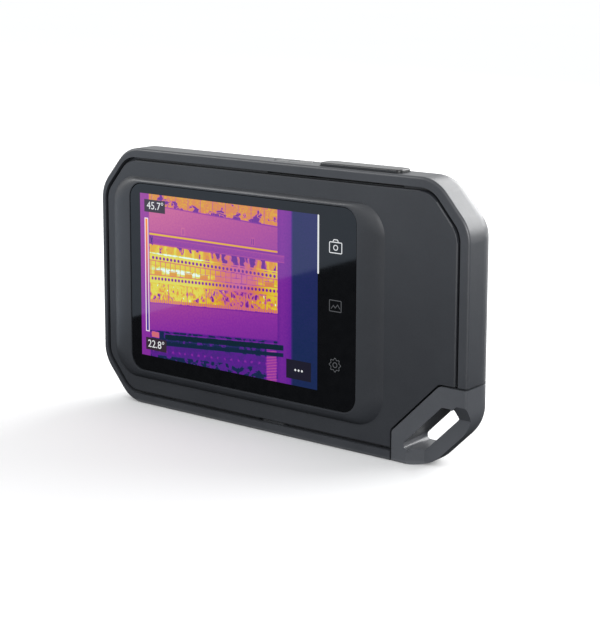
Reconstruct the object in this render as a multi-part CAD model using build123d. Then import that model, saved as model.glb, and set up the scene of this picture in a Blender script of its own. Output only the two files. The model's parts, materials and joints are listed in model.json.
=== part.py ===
"""Pocket thermal imaging camera, modelled as an assembly of separate solids.

Frame: +X to the right as the screen is read, +Y from the screen towards the lenses, +Z up.
The origin is the centre of the camera's bottom, on the surface it stands on. Millimetres.
One STEP file is written for each named piece.
"""

import math
import os

from build123d import *

# ---- overall size ----------------------------------------------------------------------------
LENGTH = 138.0
BODY_HEIGHT = 83.0
BUTTON_PROUD = 1.0
REAR_FACE = -10.3  # flat face around the screen
SCREEN_RIM = -12.0  # raised rim around the glass
FRONT_FACE = 6.6  # flat face on the lens side
PLINTH_FACE = 12.0  # raised block that carries the lenses
REAR_EDGE_RADIUS = 0.8
FRONT_EDGE_RADIUS = 9.2

# ---- body outline, a rectangle with cut and rounded corners ----------------------------------
CORNER_LEG_X = 11.2
CORNER_LEG_Z = 13.2
ANCHOR_LEG = 13.4
CORNER_RADIUS = 11.0
LEG_SHRINK = 2 - math.sqrt(2)  # how much a corner cut shortens per millimetre of inset

# ---- shells ----------------------------------------------------------------------------------
BUMPER_WALL = 2.9
BUMPER_WALL_LEFT = 1.7
GROOVE_WIDTH = 1.0
GROOVE_DEPTH = 2.2
COVER_RIM_WALL = 1.2
REAR_COVER_THICK = 1.8
FLANGE_THICK = 1.1
FLANGE_GAP = 0.05
FRONT_COVER_THICK = 2.0
FRONT_PANEL_INSET = 9.3
FRONT_SEAM = 0.45
GASKET_THICK = 0.35
FRONT_LIP = 1.4  # width of the ledge that the front cover and its gasket sit on

# ---- screen ----------------------------------------------------------------------------------
FOOT = (-63.5, 41.4, 8.7, 74.0, 9.5)  # x0, x1, z0, z1, corner radius of the rim's foot
GLASS = (-55.0, 32.8, 11.95, 72.3, 4.8)
GLASS_FIT = 0.12
RIM_LIP = 0.55
GLASS_FACE = -11.75
GLASS_THICK = 1.15
ADHESIVE_THICK = 0.2
PANEL_BOX = (-53.2, 23.2, 14.2, 71.0)  # x0, x1, z0, z1 of the display module
PANEL_FIT = 0.4
PANEL_THICK = 1.2
BACKLIGHT_THICK = 1.5

# ---- lanyard anchor, the separate corner piece -----------------------------------------------
ANCHOR_LEFT = 44.4
ANCHOR_STEP_Z = 9.0
ANCHOR_TOP = 24.7
ANCHOR_TOP_LEFT = 60.1
ANCHOR_SEAM = 0.6
ANCHOR_CORNER_RADIUS = 1.8
SLOT_LEFT = 48.5
SLOT_TOP = 18.8
SLOT_BOTTOM = 4.4
SLOT_INNER_OFFSET = 42.2  # inner wall lies on z = x - 42.2
SLOT_OUTER_OFFSET = 49.6
SLOT_RADIUS = 1.1
BAR_RECESS = 3.0
BAR_RAMP = 4.4
BAR_CLEAR = 2.0
BACK_RECESS = 4.0
BACK_RAMP = 3.0
BACK_MARGIN = 2.6
TONGUE_REAR = 0.5
TONGUE_INSET = 5.3
TONGUE_THICK = 1.8
TONGUE_REACH = 3.4
ANCHOR_SCREW_PLACES = [(46.4, 14.2), (54.4, 22.2)]
ANCHOR_POST_RADIUS = 1.35
ANCHOR_SCREW_RADIUS = 0.65

# ---- top controls ----------------------------------------------------------------------------
SAVE_X = 31.0
SAVE_LENGTH = 28.4
SAVE_Y = -5.6
SAVE_WIDTH = 6.2
POWER_X = 5.1
POWER_LENGTH = 12.8
POWER_Y = -4.9
POWER_WIDTH = 5.6
KEY_FIT = 0.28
KEY_FLANGE_Y = -4.9
KEY_FLANGE_WIDTH = 4.0
KEY_FLANGE_THICK = 0.9
KEY_CLEAR = 0.05  # between a key's flange and the wall above it
LIGHT_RADIUS = 1.5
LIGHT_FIT = 0.22
LIGHT_DEPTH = 1.2
KEY_NOTCH = (-2.3, 46.2, 79.3)  # x0, x1 and height above which the rear cover leaves room for the keys
SAVE_TRAVEL = 0.5
POWER_TRAVEL = 0.4
FLANGE_LIP = 1.0
STEM_SIZE = (6.0, 3.0)
BOARD_TOP = 73.2  # top of the small board under the keys
SWITCH_SIZE = 5.2
SWITCH_HEIGHT = 1.8
PLUNGER_RADIUS = 1.3
PLUNGER_PROUD = 1.2
SWITCH_Y = -3.6
PLUNGER_Y = -4.6
RUNNING_FIT = 0.06

# ---- inner stack -----------------------------------------------------------------------------
FRAME_REAR = -7.7
FRAME_THICK = 1.2
FRAME_INSET = 5.2
BOARD_REAR = -2.0
BOARD_THICK = 1.2
BOARD_BOX = (-60.5, 24.0, 10.5, 70.6)
BOARD_FRONT = BOARD_REAR + BOARD_THICK
POST_PLACES = [(-53.0, 15.0), (-53.0, 68.0), (53.0, 68.5), (38.0, 15.0)]
POST_RADIUS = 2.4
STANDOFF_PLACES = [(-30.0, 14.5), (18.0, 14.5), (18.0, 66.0), (-30.0, 66.5)]
STANDOFF_RADIUS = 1.8
SCREW_RADIUS = 0.8
SCREW_HEAD_RADIUS = 1.7
SCREW_HEAD_HEIGHT = 1.1
SCREW_LENGTH = 8.0
BATTERY_BOX = (27.0, 60.0, 28.8, 65.2)
BATTERY_THICK = 8.6
BATTERY_PAD = 0.3
BATTERY_WINDOW = 0.5

# ---- lens side -------------------------------------------------------------------------------
PLINTH = (-50.0, 14.0, 38.5, 72.0, 8.0)  # x0, x1, z0, z1 and corner cut at the foot
PLINTH_DRAFT = 3.2
LENS_Z = 56.5
IR_X = -6.0
EYE_X = -24.5
TORCH_X = -38.5
IR_BARREL_RADIUS = 5.4
EYE_RADIUS = 3.6
TORCH_RADIUS = 3.4
LENS_FIT = 0.1
PANEL_RECESS = 0.9
LENS_PANEL_THICK = 0.8
CORE_BOX = (-7.6, 12.4, -8.8, 8.8)  # around the thermal lens axis: x0, x1, z0, z1
CORE_FRONT = 6.9
POCKET_FLOOR = 0.8
FLAG_PIVOT = (7.5, 5.0)
FLAG_RADIUS = 3.4
FLAG_REST = (-0.2, -9.0)  # paddle centre from the pivot when the flag is parked
FLAG_Y = 2.6
FLAG_THICK = 0.3
FLAG_PIN_RADIUS = 0.45

# ---- charging port on the left end -----------------------------------------------------------
PORT_Y = -3.9
PORT_Z = 41.0
PORT_SIZE = (8.94, 3.26)  # along z and along y
PORT_DEPTH = 7.2
PORT_PAD = (-67.8, -65.0, -6.9, 1.2, 31.5, 52.5)  # thicker wall behind the flap: x0, x1, y0, y1, z0, z1
FLAP_WIDTH = 6.4
FLAP_BOTTOM = 33.0
FLAP_HINGE_Z = 50.2
FLAP_THICK = 1.35
FLAP_RECESS = 1.6
PORT_FIT = 0.35
FLAP_FIT = 0.12
HINGE_RADIUS = 0.7
HINGE_PIN_RADIUS = 0.35

# ---- tripod socket ---------------------------------------------------------------------------
TRIPOD_Y = -4.9
TRIPOD_RADIUS = 3.175
TRIPOD_DEPTH = 6.4
INSERT_RADIUS = 3.8
INSERT_HEIGHT = 7.4
INSERT_BOTTOM = 0.2
BOSS_RADIUS = 5.3
BOSS_TOP = 6.5
BOSS_REAR = -8.75


# ---- helpers ---------------------------------------------------------------------------------
def upright(y):
    """A drawing plane whose x and y are the camera's X and Z, at depth y, facing the screen side."""
    return Plane(origin=(0, y, 0), x_dir=(1, 0, 0), z_dir=(0, -1, 0))


def prism(face, y0, y1):
    """A face drawn in X and Z, made solid from y0 to y1."""
    return extrude(upright(y1) * face, amount=y1 - y0)


def rounded(x0, x1, z0, z1, radius):
    face = Pos((x0 + x1) / 2, (z0 + z1) / 2) * RectangleRounded(x1 - x0, z1 - z0, radius)
    return face


def polygon(points, radius=0.0):
    face = make_face(Polyline(*points, close=True))
    return fillet(face.vertices(), radius) if radius else face


def cut_rectangle(x0, x1, z0, z1, cut):
    """A rectangle with its four corners cut off at 45 degrees."""
    return polygon(
        [
            (x0 + cut, z0),
            (x1 - cut, z0),
            (x1, z0 + cut),
            (x1, z1 - cut),
            (x1 - cut, z1),
            (x0 + cut, z1),
            (x0, z1 - cut),
            (x0, z0 + cut),
        ]
    )


def outline(inset=0.0, left_inset=None):
    """The body's outline moved inwards."""
    x0 = -LENGTH / 2 + (inset if left_inset is None else left_inset)
    x1 = LENGTH / 2 - inset
    z0, z1 = inset, BODY_HEIGHT - inset
    leg_x = CORNER_LEG_X - LEG_SHRINK * inset
    leg_z = CORNER_LEG_Z - LEG_SHRINK * inset
    leg_a = ANCHOR_LEG - LEG_SHRINK * inset
    points = [
        (x0 + leg_x, z0),
        (x1 - leg_a, z0),
        (x1, z0 + leg_a),
        (x1, z1 - leg_z),
        (x1 - leg_x, z1),
        (x0 + leg_x, z1),
        (x0, z1 - leg_z),
        (x0, z0 + leg_z),
    ]
    return polygon(points, CORNER_RADIUS - inset)


def box(x0, x1, y0, y1, z0, z1):
    return Pos((x0 + x1) / 2, (y0 + y1) / 2, (z0 + z1) / 2) * Box(x1 - x0, y1 - y0, z1 - z0)


def rod_y(x, z, radius, y0, y1):
    return Pos(x, (y0 + y1) / 2, z) * Rot(90, 0, 0) * Cylinder(radius, y1 - y0)


def rod_z(x, y, radius, z0, z1):
    return Pos(x, y, (z0 + z1) / 2) * Cylinder(radius, z1 - z0)


def tube_y(x, z, outer, inner, y0, y1):
    return rod_y(x, z, outer, y0, y1) - rod_y(x, z, inner, y0 - 1, y1 + 1)


def edges_at_y(solid, y):
    return solid.edges().filter_by_position(Axis.Y, y - 0.001, y + 0.001)


def write(name, shape):
    export_step(shape, f"parts/{name}.step")


# ---- volumes that several pieces share -------------------------------------------------------
def outer_body():
    body = prism(outline(), REAR_FACE, FRONT_FACE)
    body = fillet(edges_at_y(body, FRONT_FACE), FRONT_EDGE_RADIUS)
    return fillet(edges_at_y(body, REAR_FACE), REAR_EDGE_RADIUS)


def inner_space():
    """The space inside the bumper, open at the back."""
    front = FRONT_FACE - FRONT_COVER_THICK - FRONT_LIP
    space = prism(outline(BUMPER_WALL, BUMPER_WALL_LEFT), REAR_FACE - 1, front)
    return fillet(edges_at_y(space, front), FRONT_EDGE_RADIUS - BUMPER_WALL - FRONT_LIP)


def anchor_zone(grow=0.0):
    """The corner that belongs to the lanyard anchor, full depth."""
    far = LENGTH
    slope = (ANCHOR_TOP - ANCHOR_STEP_Z) / (ANCHOR_TOP_LEFT - ANCHOR_LEFT)
    face = polygon(
        [
            (ANCHOR_LEFT, -far),
            (far, -far),
            (far, ANCHOR_TOP),
            (ANCHOR_LEFT + (ANCHOR_TOP - ANCHOR_STEP_Z) / slope, ANCHOR_TOP),
            (ANCHOR_LEFT, ANCHOR_STEP_Z),
        ]
    )
    corners = [v for v in face.vertices() if v.X < ANCHOR_TOP_LEFT + 1 and v.Y > 0]
    face = fillet(corners, ANCHOR_CORNER_RADIUS)
    if grow:
        face = offset(face, grow)
    return prism(face, -20, 20)


def key_shape(length, width, fit=0.0):
    return SlotOverall(length + 2 * fit, width + 2 * fit)


def save_shape(fit=0.0):
    return RectangleRounded(SAVE_LENGTH + 2 * fit, SAVE_WIDTH + 2 * fit, 1.6 + fit)


def upward(face, x, y, z0, z1):
    return Pos(x, y, z0) * extrude(face, amount=z1 - z0)


# ---- shells ----------------------------------------------------------------------------------
def bumper(body, space):
    shell = body - space
    shell -= prism(outline(FRONT_PANEL_INSET - FRONT_SEAM), FRONT_FACE - FRONT_COVER_THICK, 20)
    shell -= prism(outline(FRONT_PANEL_INSET + FRONT_LIP), -5, 20)
    shell -= anchor_zone(ANCHOR_SEAM)
    top = BODY_HEIGHT + 2
    wall_under = BODY_HEIGHT - BUMPER_WALL - 2
    shell -= upward(save_shape(KEY_FIT), SAVE_X, SAVE_Y, wall_under, top)
    shell -= upward(key_shape(POWER_LENGTH, POWER_WIDTH, KEY_FIT), POWER_X, POWER_Y, wall_under, top)
    boss = rod_z(0, TRIPOD_Y, BOSS_RADIUS, BUMPER_WALL - 1, BOSS_TOP)
    shell += boss & box(-9, 9, BOSS_REAR, 9, 0, BOSS_TOP)
    shell -= rod_z(0, TRIPOD_Y, INSERT_RADIUS + 0.02, -1, BOSS_TOP + 1)
    x0, x1, y0, y1, z0, z1 = PORT_PAD
    shell += box(x0, x1, y0, y1, z0, z1)
    return shell - port_recess()


def port_recess():
    left = -LENGTH / 2
    y0 = PORT_Y - FLAP_WIDTH / 2 - FLAP_FIT
    y1 = PORT_Y + FLAP_WIDTH / 2 + FLAP_FIT
    top = FLAP_HINGE_Z + 1.1
    recess = box(left - 1, left + FLAP_RECESS, y0, y1, FLAP_BOTTOM - FLAP_FIT, top)
    recess += port_profile(PORT_FIT, left, left + 5)
    pivot_x = left + HINGE_RADIUS + 0.1
    recess += rod_y(pivot_x, FLAP_HINGE_Z, HINGE_PIN_RADIUS + 0.01, y0 - 0.9, y1 + 0.9)
    return recess


def rear_cover():
    edge = GROOVE_WIDTH + BUMPER_WALL
    edge_left = GROOVE_WIDTH + BUMPER_WALL_LEFT
    inner = REAR_FACE + REAR_COVER_THICK
    plate = prism(outline(edge, edge_left), REAR_FACE, inner)
    plate = chamfer(edges_at_y(plate, REAR_FACE), 0.3)
    flange_face = outline(BUMPER_WALL + FLANGE_GAP, BUMPER_WALL_LEFT + FLANGE_GAP)
    flange_rear = REAR_FACE + GROOVE_DEPTH
    flange_front = flange_rear + FLANGE_THICK
    flange = prism(flange_face, flange_rear, flange_front)
    flange += prism(outline(edge, edge_left), inner - 0.5, flange_front)
    flange -= prism(outline(edge + COVER_RIM_WALL, edge_left + COVER_RIM_WALL), -20, 20)
    cover = plate + flange + screen_rim()
    seat = GLASS_FACE + GLASS_THICK + ADHESIVE_THICK
    cover -= prism(rounded(*grown(GLASS, GLASS_FIT)), SCREEN_RIM - 1, seat)
    x0, x1, z0, z1 = PANEL_BOX
    opening = rounded(x0 - PANEL_FIT, x1 + PANEL_FIT, z0 - PANEL_FIT, z1 + PANEL_FIT, 0.8)
    cover -= prism(opening, SCREEN_RIM - 1, inner + 5)
    cover -= box(-BOSS_RADIUS - 0.3, BOSS_RADIUS + 0.3, BOSS_REAR - 0.05, 0, 0, INSERT_HEIGHT + 1)
    x0, x1, z0 = KEY_NOTCH
    cover -= box(x0, x1, inner + 0.1, 0, z0, BODY_HEIGHT)
    return cover - anchor_zone(ANCHOR_SEAM)


def grown(shape, by):
    x0, x1, z0, z1, radius = shape
    return (x0 - by, x1 + by, z0 - by, z1 + by, radius + by)


def blend(low, high, share):
    return [a + (b - a) * share for a, b in zip(low, high)]


def screen_rim():
    """The raised rim: steep at its foot and almost flat where it meets the glass."""
    top = grown(GLASS, RIM_LIP)
    sections = []
    for rise, inward in ((0.0, 0.0), (0.42, 0.2), (0.78, 0.5), (1.0, 1.0)):
        y = REAR_FACE + 0.02 + (SCREEN_RIM - REAR_FACE - 0.02) * rise
        sections.append(upright(y) * rounded(*blend(FOOT, top, inward)))
    return loft(sections) + prism(rounded(*FOOT), REAR_FACE, REAR_FACE + REAR_COVER_THICK)


def plinth_face(shrink):
    x0, x1, z0, z1, cut = PLINTH
    return cut_rectangle(x0 + shrink, x1 - shrink, z0 + shrink, z1 - shrink, cut - shrink * 0.4)


def front_cover():
    inner = FRONT_FACE - FRONT_COVER_THICK
    cover = prism(outline(FRONT_PANEL_INSET), inner + GASKET_THICK, FRONT_FACE)
    cover = chamfer(edges_at_y(cover, FRONT_FACE), 0.35)
    raised = loft([upright(FRONT_FACE) * plinth_face(0), upright(PLINTH_FACE) * plinth_face(PLINTH_DRAFT)])
    raised = fillet(edges_at_y(raised, PLINTH_FACE), 0.8)
    cover += raised
    cover -= prism(plinth_face(PLINTH_DRAFT + 1.2), PLINTH_FACE - PANEL_RECESS, PLINTH_FACE + 1)
    cover -= prism(plinth_face(2.4), inner - 1, PLINTH_FACE - PANEL_RECESS - 1.4)
    for x, radius in ((IR_X, IR_BARREL_RADIUS), (EYE_X, EYE_RADIUS), (TORCH_X, TORCH_RADIUS)):
        cover -= rod_y(x, LENS_Z, radius + LENS_FIT, 0, 20)
    for x, z in POST_PLACES:
        cover -= rod_y(x, z, SCREW_RADIUS + 0.15, 0, 20)
        cover -= rod_y(x, z, SCREW_HEAD_RADIUS + 0.15, FRONT_FACE - SCREW_HEAD_HEIGHT, 20)
    return cover - anchor_zone(ANCHOR_SEAM)


def front_gasket():
    inner = FRONT_FACE - FRONT_COVER_THICK
    ring = prism(outline(FRONT_PANEL_INSET), inner, inner + GASKET_THICK)
    ring -= prism(outline(FRONT_PANEL_INSET + FRONT_LIP), inner - 1, inner + 1)
    return ring - anchor_zone(ANCHOR_SEAM)


def lanyard_anchor(body):
    piece = body & anchor_zone()
    slot = polygon(
        [
            (SLOT_LEFT, SLOT_BOTTOM),
            (SLOT_BOTTOM + SLOT_OUTER_OFFSET, SLOT_BOTTOM),
            (SLOT_TOP + SLOT_OUTER_OFFSET - 3.3, SLOT_TOP - 3.3),
            (SLOT_TOP + SLOT_OUTER_OFFSET - 3.9, SLOT_TOP),
            (SLOT_TOP + SLOT_INNER_OFFSET, SLOT_TOP),
            (SLOT_LEFT, SLOT_LEFT - SLOT_INNER_OFFSET),
        ],
        SLOT_RADIUS,
    )
    piece -= prism(slot, -20, 20)
    piece -= bar_relief()
    piece -= back_relief()
    return piece + anchor_tongue()


def anchor_tongue():
    """The ledge that reaches into the shell, where two screws hold the anchor to the frame."""
    y1 = TONGUE_REAR + TONGUE_THICK
    ledge = prism(outline(TONGUE_INSET), TONGUE_REAR, y1) & anchor_zone(TONGUE_REACH)
    ledge -= anchor_zone(-1.0)
    for x, z in ANCHOR_SCREW_PLACES:
        ledge -= rod_y(x, z, ANCHOR_SCREW_RADIUS + 0.1, -5, 5)
    return ledge


def corner_zone(left, top, offset_low):
    """The part of the corner right of left, below top, and right of the line z = x - offset_low."""
    far = LENGTH
    return polygon(
        [
            (left, -BAR_CLEAR),
            (left, left - offset_low),
            (top + offset_low, top),
            (far, top),
            (far, -BAR_CLEAR),
        ]
    )


def bar_relief():
    """Cut on the screen side, so that the bar outside the slot lies lower than the face beside it."""
    left = SLOT_LEFT + 0.8
    top = SLOT_TOP + 1.0
    middle = (SLOT_INNER_OFFSET + SLOT_OUTER_OFFSET) / 2
    lead = BAR_RAMP / BAR_RECESS
    outer = corner_zone(left - lead, top + lead, middle)
    inner = corner_zone(left + BAR_RAMP, top - BAR_RAMP, middle)
    return loft([upright(REAR_FACE - 1.0) * outer, upright(REAR_FACE + BAR_RECESS) * inner])


def back_relief():
    """Cut on the lens side, all round the slot."""
    left = SLOT_LEFT - BACK_MARGIN
    top = SLOT_TOP + BACK_MARGIN
    middle = SLOT_INNER_OFFSET - 1.4 * BACK_MARGIN
    lead = BACK_RAMP / BACK_RECESS
    outer = corner_zone(left - BACK_RAMP - lead, top + BACK_RAMP + lead, middle - 1.4 * (BACK_RAMP + lead))
    inner = corner_zone(left, top, middle)
    return loft([upright(FRONT_FACE + 1.0) * outer, upright(FRONT_FACE - BACK_RECESS) * inner])


# ---- screen stack ----------------------------------------------------------------------------
def touch_glass():
    glass = prism(rounded(*GLASS), GLASS_FACE, GLASS_FACE + GLASS_THICK)
    return chamfer(edges_at_y(glass, GLASS_FACE), 0.15)


def glass_adhesive():
    back = GLASS_FACE + GLASS_THICK
    x0, x1, z0, z1 = PANEL_BOX
    ring = prism(rounded(*grown(GLASS, -0.2)), back, back + ADHESIVE_THICK)
    return ring - prism(rounded(x0 - 0.6, x1 + 0.6, z0 - 0.6, z1 + 0.6, 1.5), back - 1, back + 1)


def display_panel():
    back = GLASS_FACE + GLASS_THICK
    x0, x1, z0, z1 = PANEL_BOX
    return box(x0, x1, back, back + PANEL_THICK, z0, z1)


def display_backlight():
    back = GLASS_FACE + GLASS_THICK + PANEL_THICK
    x0, x1, z0, z1 = PANEL_BOX
    tray = box(x0, x1, back, back + BACKLIGHT_THICK, z0, z1)
    return fillet(tray.edges().filter_by(Axis.Y), 0.8)


def display_flex():
    """The ribbon from the display, through the frame's window, to the main board."""
    x0, x1 = -10.0, 10.0
    start = GLASS_FACE + GLASS_THICK + PANEL_THICK + BACKLIGHT_THICK
    ribbon = box(x0, x1, start, start + 0.15, 20.0, 30.2)
    ribbon += box(x0, x1, start, BOARD_REAR - 0.9, 20.0, 20.2)
    return ribbon + box(x0, x1, BOARD_REAR - 1.05, BOARD_REAR - 0.9, 13.0, 20.2)


def flex_socket():
    return box(-11.0, 11.0, BOARD_REAR - 0.9, BOARD_REAR, 12.4, 16.4)


# ---- frame, boards and battery ---------------------------------------------------------------
def mid_frame():
    front = FRAME_REAR + FRAME_THICK
    frame = prism(outline(FRAME_INSET), FRAME_REAR, front)
    frame -= box(-12, 12, -20, 20, 19.0, 21.4)
    frame -= box(-BOSS_RADIUS - 0.4, BOSS_RADIUS + 0.4, -20, 20, -1, INSERT_HEIGHT + 1.2)
    frame += box(-4.0, 44.0, front - 0.2, 1.0, BOARD_TOP - 2.2, BOARD_TOP - 1.0)
    for x in (-50.0, -26.0, -2.0):
        frame -= rod_y(x, 40.0, 4.0, -20, 0)
    x0, x1, z0, z1 = BATTERY_BOX
    gap = BATTERY_WINDOW
    frame -= box(x0 - gap, x1 + gap, -20, 20, z0 - gap, z1 + gap)
    for x, z in POST_PLACES:
        frame += rod_y(x, z, POST_RADIUS, front - 0.2, FRONT_FACE - FRONT_COVER_THICK + 0.3)
        frame -= rod_y(x, z, SCREW_RADIUS + 0.03, FRONT_FACE - SCREW_HEAD_HEIGHT - SCREW_LENGTH, 20)
    frame -= anchor_zone(0.9)
    for x, z in ANCHOR_SCREW_PLACES:
        frame += rod_y(x, z, ANCHOR_POST_RADIUS, front - 0.2, TONGUE_REAR)
        frame -= rod_y(x, z, ANCHOR_SCREW_RADIUS + 0.03, TONGUE_REAR - 4.0, 20)
    return frame


def board_standoffs():
    front = FRAME_REAR + FRAME_THICK
    posts = [tube_y(x, z, STANDOFF_RADIUS, 0.8, front, BOARD_REAR) for x, z in STANDOFF_PLACES]
    return Compound(children=posts)


def board_screws():
    screws = []
    for x, z in STANDOFF_PLACES:
        screw = rod_y(x, z, 0.75, BOARD_REAR - 3.0, BOARD_FRONT)
        screw += rod_y(x, z, 1.6, BOARD_FRONT, BOARD_FRONT + 0.7)
        screws.append(screw - rod_y(x, z, 0.6, BOARD_FRONT + 0.3, BOARD_FRONT + 1))
    return Compound(children=screws)


def main_board():
    x0, x1, z0, z1 = BOARD_BOX
    board = box(x0, x1, BOARD_REAR, BOARD_FRONT, z0, z1)
    board -= box(x0 - 1, x0 + 4.0, BOARD_REAR - 1, BOARD_FRONT + 1, z0 - 1, z0 + 3.5)
    board -= box(x0 - 1, x0 + 4.0, BOARD_REAR - 1, BOARD_FRONT + 1, z1 - 3.5, z1 + 1)
    for x, z in POST_PLACES:
        board -= rod_y(x, z, POST_RADIUS + 0.4, -20, 20)
    for x, z in STANDOFF_PLACES:
        board -= rod_y(x, z, 0.85, -20, 20)
    return board


def processor_shield():
    can = box(-46.0, -22.0, BOARD_FRONT, BOARD_FRONT + 2.2, 20.0, 44.0)
    can = fillet(can.edges().filter_by(Axis.Y), 1.0)
    return can - box(-45.7, -22.3, BOARD_FRONT - 1, BOARD_FRONT + 1.9, 20.3, 43.7)


def board_chips():
    places = [
        (-38.0, 34.0, 12.0, 12.0, 1.2),
        (-27.5, 25.5, 7.0, 7.0, 0.9),
        (-6.0, 30.0, 9.0, 12.0, 1.1),
        (6.0, 24.0, 6.0, 6.0, 0.9),
        (8.0, 36.0, 5.0, 4.0, 1.0),
        (18.0, 26.0, 4.0, 8.0, 1.6),
    ]
    chips = []
    for x, z, length, height, thick in places:
        y1 = BOARD_FRONT + thick
        chips.append(box(x - length / 2, x + length / 2, BOARD_FRONT, y1, z - height / 2, z + height / 2))
    return Compound(children=chips)


def radio_module():
    module = box(-57.0, -49.0, BOARD_FRONT, BOARD_FRONT + 1.8, 48.0, 60.0)
    return chamfer(module.edges().filter_by(Axis.Y), 0.4)


def antenna():
    z1 = BODY_HEIGHT - BUMPER_WALL - 0.05
    return box(-50.0, -28.0, -6.6, -1.8, z1 - 0.3, z1)


def battery_pack():
    x0, x1, z0, z1 = BATTERY_BOX
    rear = REAR_FACE + REAR_COVER_THICK + BATTERY_PAD
    cell = box(x0, x1, rear, rear + BATTERY_THICK, z0, z1)
    return fillet(cell.edges().filter_by(Axis.Z), 2.2)


def battery_pad():
    x0, x1, z0, z1 = BATTERY_BOX
    rear = REAR_FACE + REAR_COVER_THICK
    return box(x0 + 3, x1 - 3, rear, rear + BATTERY_PAD, z0 + 3, z1 - 3)


def battery_lead():
    """The pack's flat lead, from its end to the socket on the main board."""
    x0, _, z0, _ = BATTERY_BOX
    y0 = BOARD_FRONT + 0.5
    return box(x0 - 6.6, x0, y0, y0 + 0.6, z0 + 20, z0 + 24)


def battery_socket():
    x0, _, z0, _ = BATTERY_BOX
    socket = box(x0 - 10.6, x0 - 5.6, BOARD_FRONT, BOARD_FRONT + 2.4, z0 + 19, z0 + 25)
    return socket - box(x0 - 6.7, x0, BOARD_FRONT + 0.45, BOARD_FRONT + 1.15, z0 + 19.9, z0 + 24.1)


# ---- keys ------------------------------------------------------------------------------------
def key_board():
    return box(-3.5, 43.5, -6.4, 1.0, BOARD_TOP - 1.0, BOARD_TOP)


def key_flange(x, length):
    """The lip that keeps a key in the shell, and the stem that presses its switch."""
    z1 = BODY_HEIGHT - BUMPER_WALL - KEY_CLEAR
    half = length / 2
    stem_x, stem_y = STEM_SIZE
    top_of_plunger = BOARD_TOP + SWITCH_HEIGHT + PLUNGER_PROUD
    y0, y1 = KEY_FLANGE_Y - stem_y / 2, KEY_FLANGE_Y + stem_y / 2
    rear = KEY_FLANGE_Y - KEY_FLANGE_WIDTH / 2
    flange = box(x - half, x + half, rear, rear + KEY_FLANGE_WIDTH, z1 - KEY_FLANGE_THICK, z1)
    stem = box(x - stem_x / 2, x + stem_x / 2, y0, y1, top_of_plunger, z1 - KEY_FLANGE_THICK / 2)
    return flange + stem


def save_button():
    z0 = BODY_HEIGHT - BUMPER_WALL - 0.1
    cap = upward(save_shape(), SAVE_X, SAVE_Y, z0, BODY_HEIGHT + BUTTON_PROUD)
    cap = fillet(cap.edges().filter_by_position(Axis.Z, BODY_HEIGHT + 0.9, BODY_HEIGHT + 1.1), 0.45)
    return cap + key_flange(SAVE_X, SAVE_LENGTH + 2 * FLANGE_LIP)


def power_button():
    z0 = BODY_HEIGHT - BUMPER_WALL - 0.3
    key = upward(key_shape(POWER_LENGTH, POWER_WIDTH), POWER_X, POWER_Y, z0, BODY_HEIGHT)
    key = fillet(key.edges().filter_by_position(Axis.Z, BODY_HEIGHT - 0.01, BODY_HEIGHT + 0.01), 0.25)
    key += key_flange(POWER_X, POWER_LENGTH + 2 * FLANGE_LIP)
    return key - rod_z(POWER_X, POWER_Y, LIGHT_RADIUS + LIGHT_FIT, BODY_HEIGHT - LIGHT_DEPTH, BODY_HEIGHT + 1)


def power_light():
    return rod_z(POWER_X, POWER_Y, LIGHT_RADIUS, BODY_HEIGHT - LIGHT_DEPTH, BODY_HEIGHT - 0.05)


def key_switch(x):
    z1 = BOARD_TOP + SWITCH_HEIGHT
    half = SWITCH_SIZE / 2
    body = box(x - half, x + half, SWITCH_Y - half, SWITCH_Y + half, BOARD_TOP, z1)
    body = chamfer(body.edges().filter_by(Axis.Z), 0.5)
    return body - rod_z(x, PLUNGER_Y, PLUNGER_RADIUS + RUNNING_FIT, BOARD_TOP + 0.4, z1 + 1)


def key_plunger(x, travel):
    z1 = BOARD_TOP + SWITCH_HEIGHT + PLUNGER_PROUD
    return rod_z(x, PLUNGER_Y, PLUNGER_RADIUS, BOARD_TOP + 0.5 + travel, z1)


# ---- lenses ----------------------------------------------------------------------------------
def core_housing():
    x0, x1, z0, z1 = CORE_BOX
    x, z = IR_X, LENS_Z
    block = box(x + x0, x + x1, BOARD_FRONT, CORE_FRONT, z + z0, z + z1)
    block = fillet(block.edges().filter_by(Axis.Y), 1.2)
    block -= box(x + x0 + 1.2, x + x1 - 1.2, POCKET_FLOOR, CORE_FRONT - 3.0, z + z0 + 1.2, z + z1 - 1.2)
    block -= rod_y(x, z, IR_BARREL_RADIUS - 0.4, 3.0, 20)
    return block - rod_y(x + FLAG_PIVOT[0], z + FLAG_PIVOT[1], FLAG_PIN_RADIUS, BOARD_FRONT + 0.4, 5.0)


def thermal_sensor():
    chip = box(IR_X - 4.5, IR_X + 4.5, POCKET_FLOOR, POCKET_FLOOR + 0.6, LENS_Z - 4.5, LENS_Z + 4.5)
    return chip + box(IR_X - 3.2, IR_X + 3.2, POCKET_FLOOR, POCKET_FLOOR + 1.3, LENS_Z - 3.2, LENS_Z + 3.2)


def shutter_pin():
    x, z = IR_X + FLAG_PIVOT[0], LENS_Z + FLAG_PIVOT[1]
    return rod_y(x, z, FLAG_PIN_RADIUS, BOARD_FRONT + 0.4, 5.0)


def shutter_flag():
    px, pz = IR_X + FLAG_PIVOT[0], LENS_Z + FLAG_PIVOT[1]
    cx, cz = px + FLAG_REST[0], pz + FLAG_REST[1]
    y1 = FLAG_Y + FLAG_THICK
    flag = rod_y(cx, cz, FLAG_RADIUS, FLAG_Y, y1)
    flag += box(px - 0.9, px + 0.7, FLAG_Y, y1, cz, pz)
    flag += rod_y(px, pz, 1.1, FLAG_Y - 0.3, y1 + 0.3)
    return flag - rod_y(px, pz, FLAG_PIN_RADIUS + 0.05, 0, 5)


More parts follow.
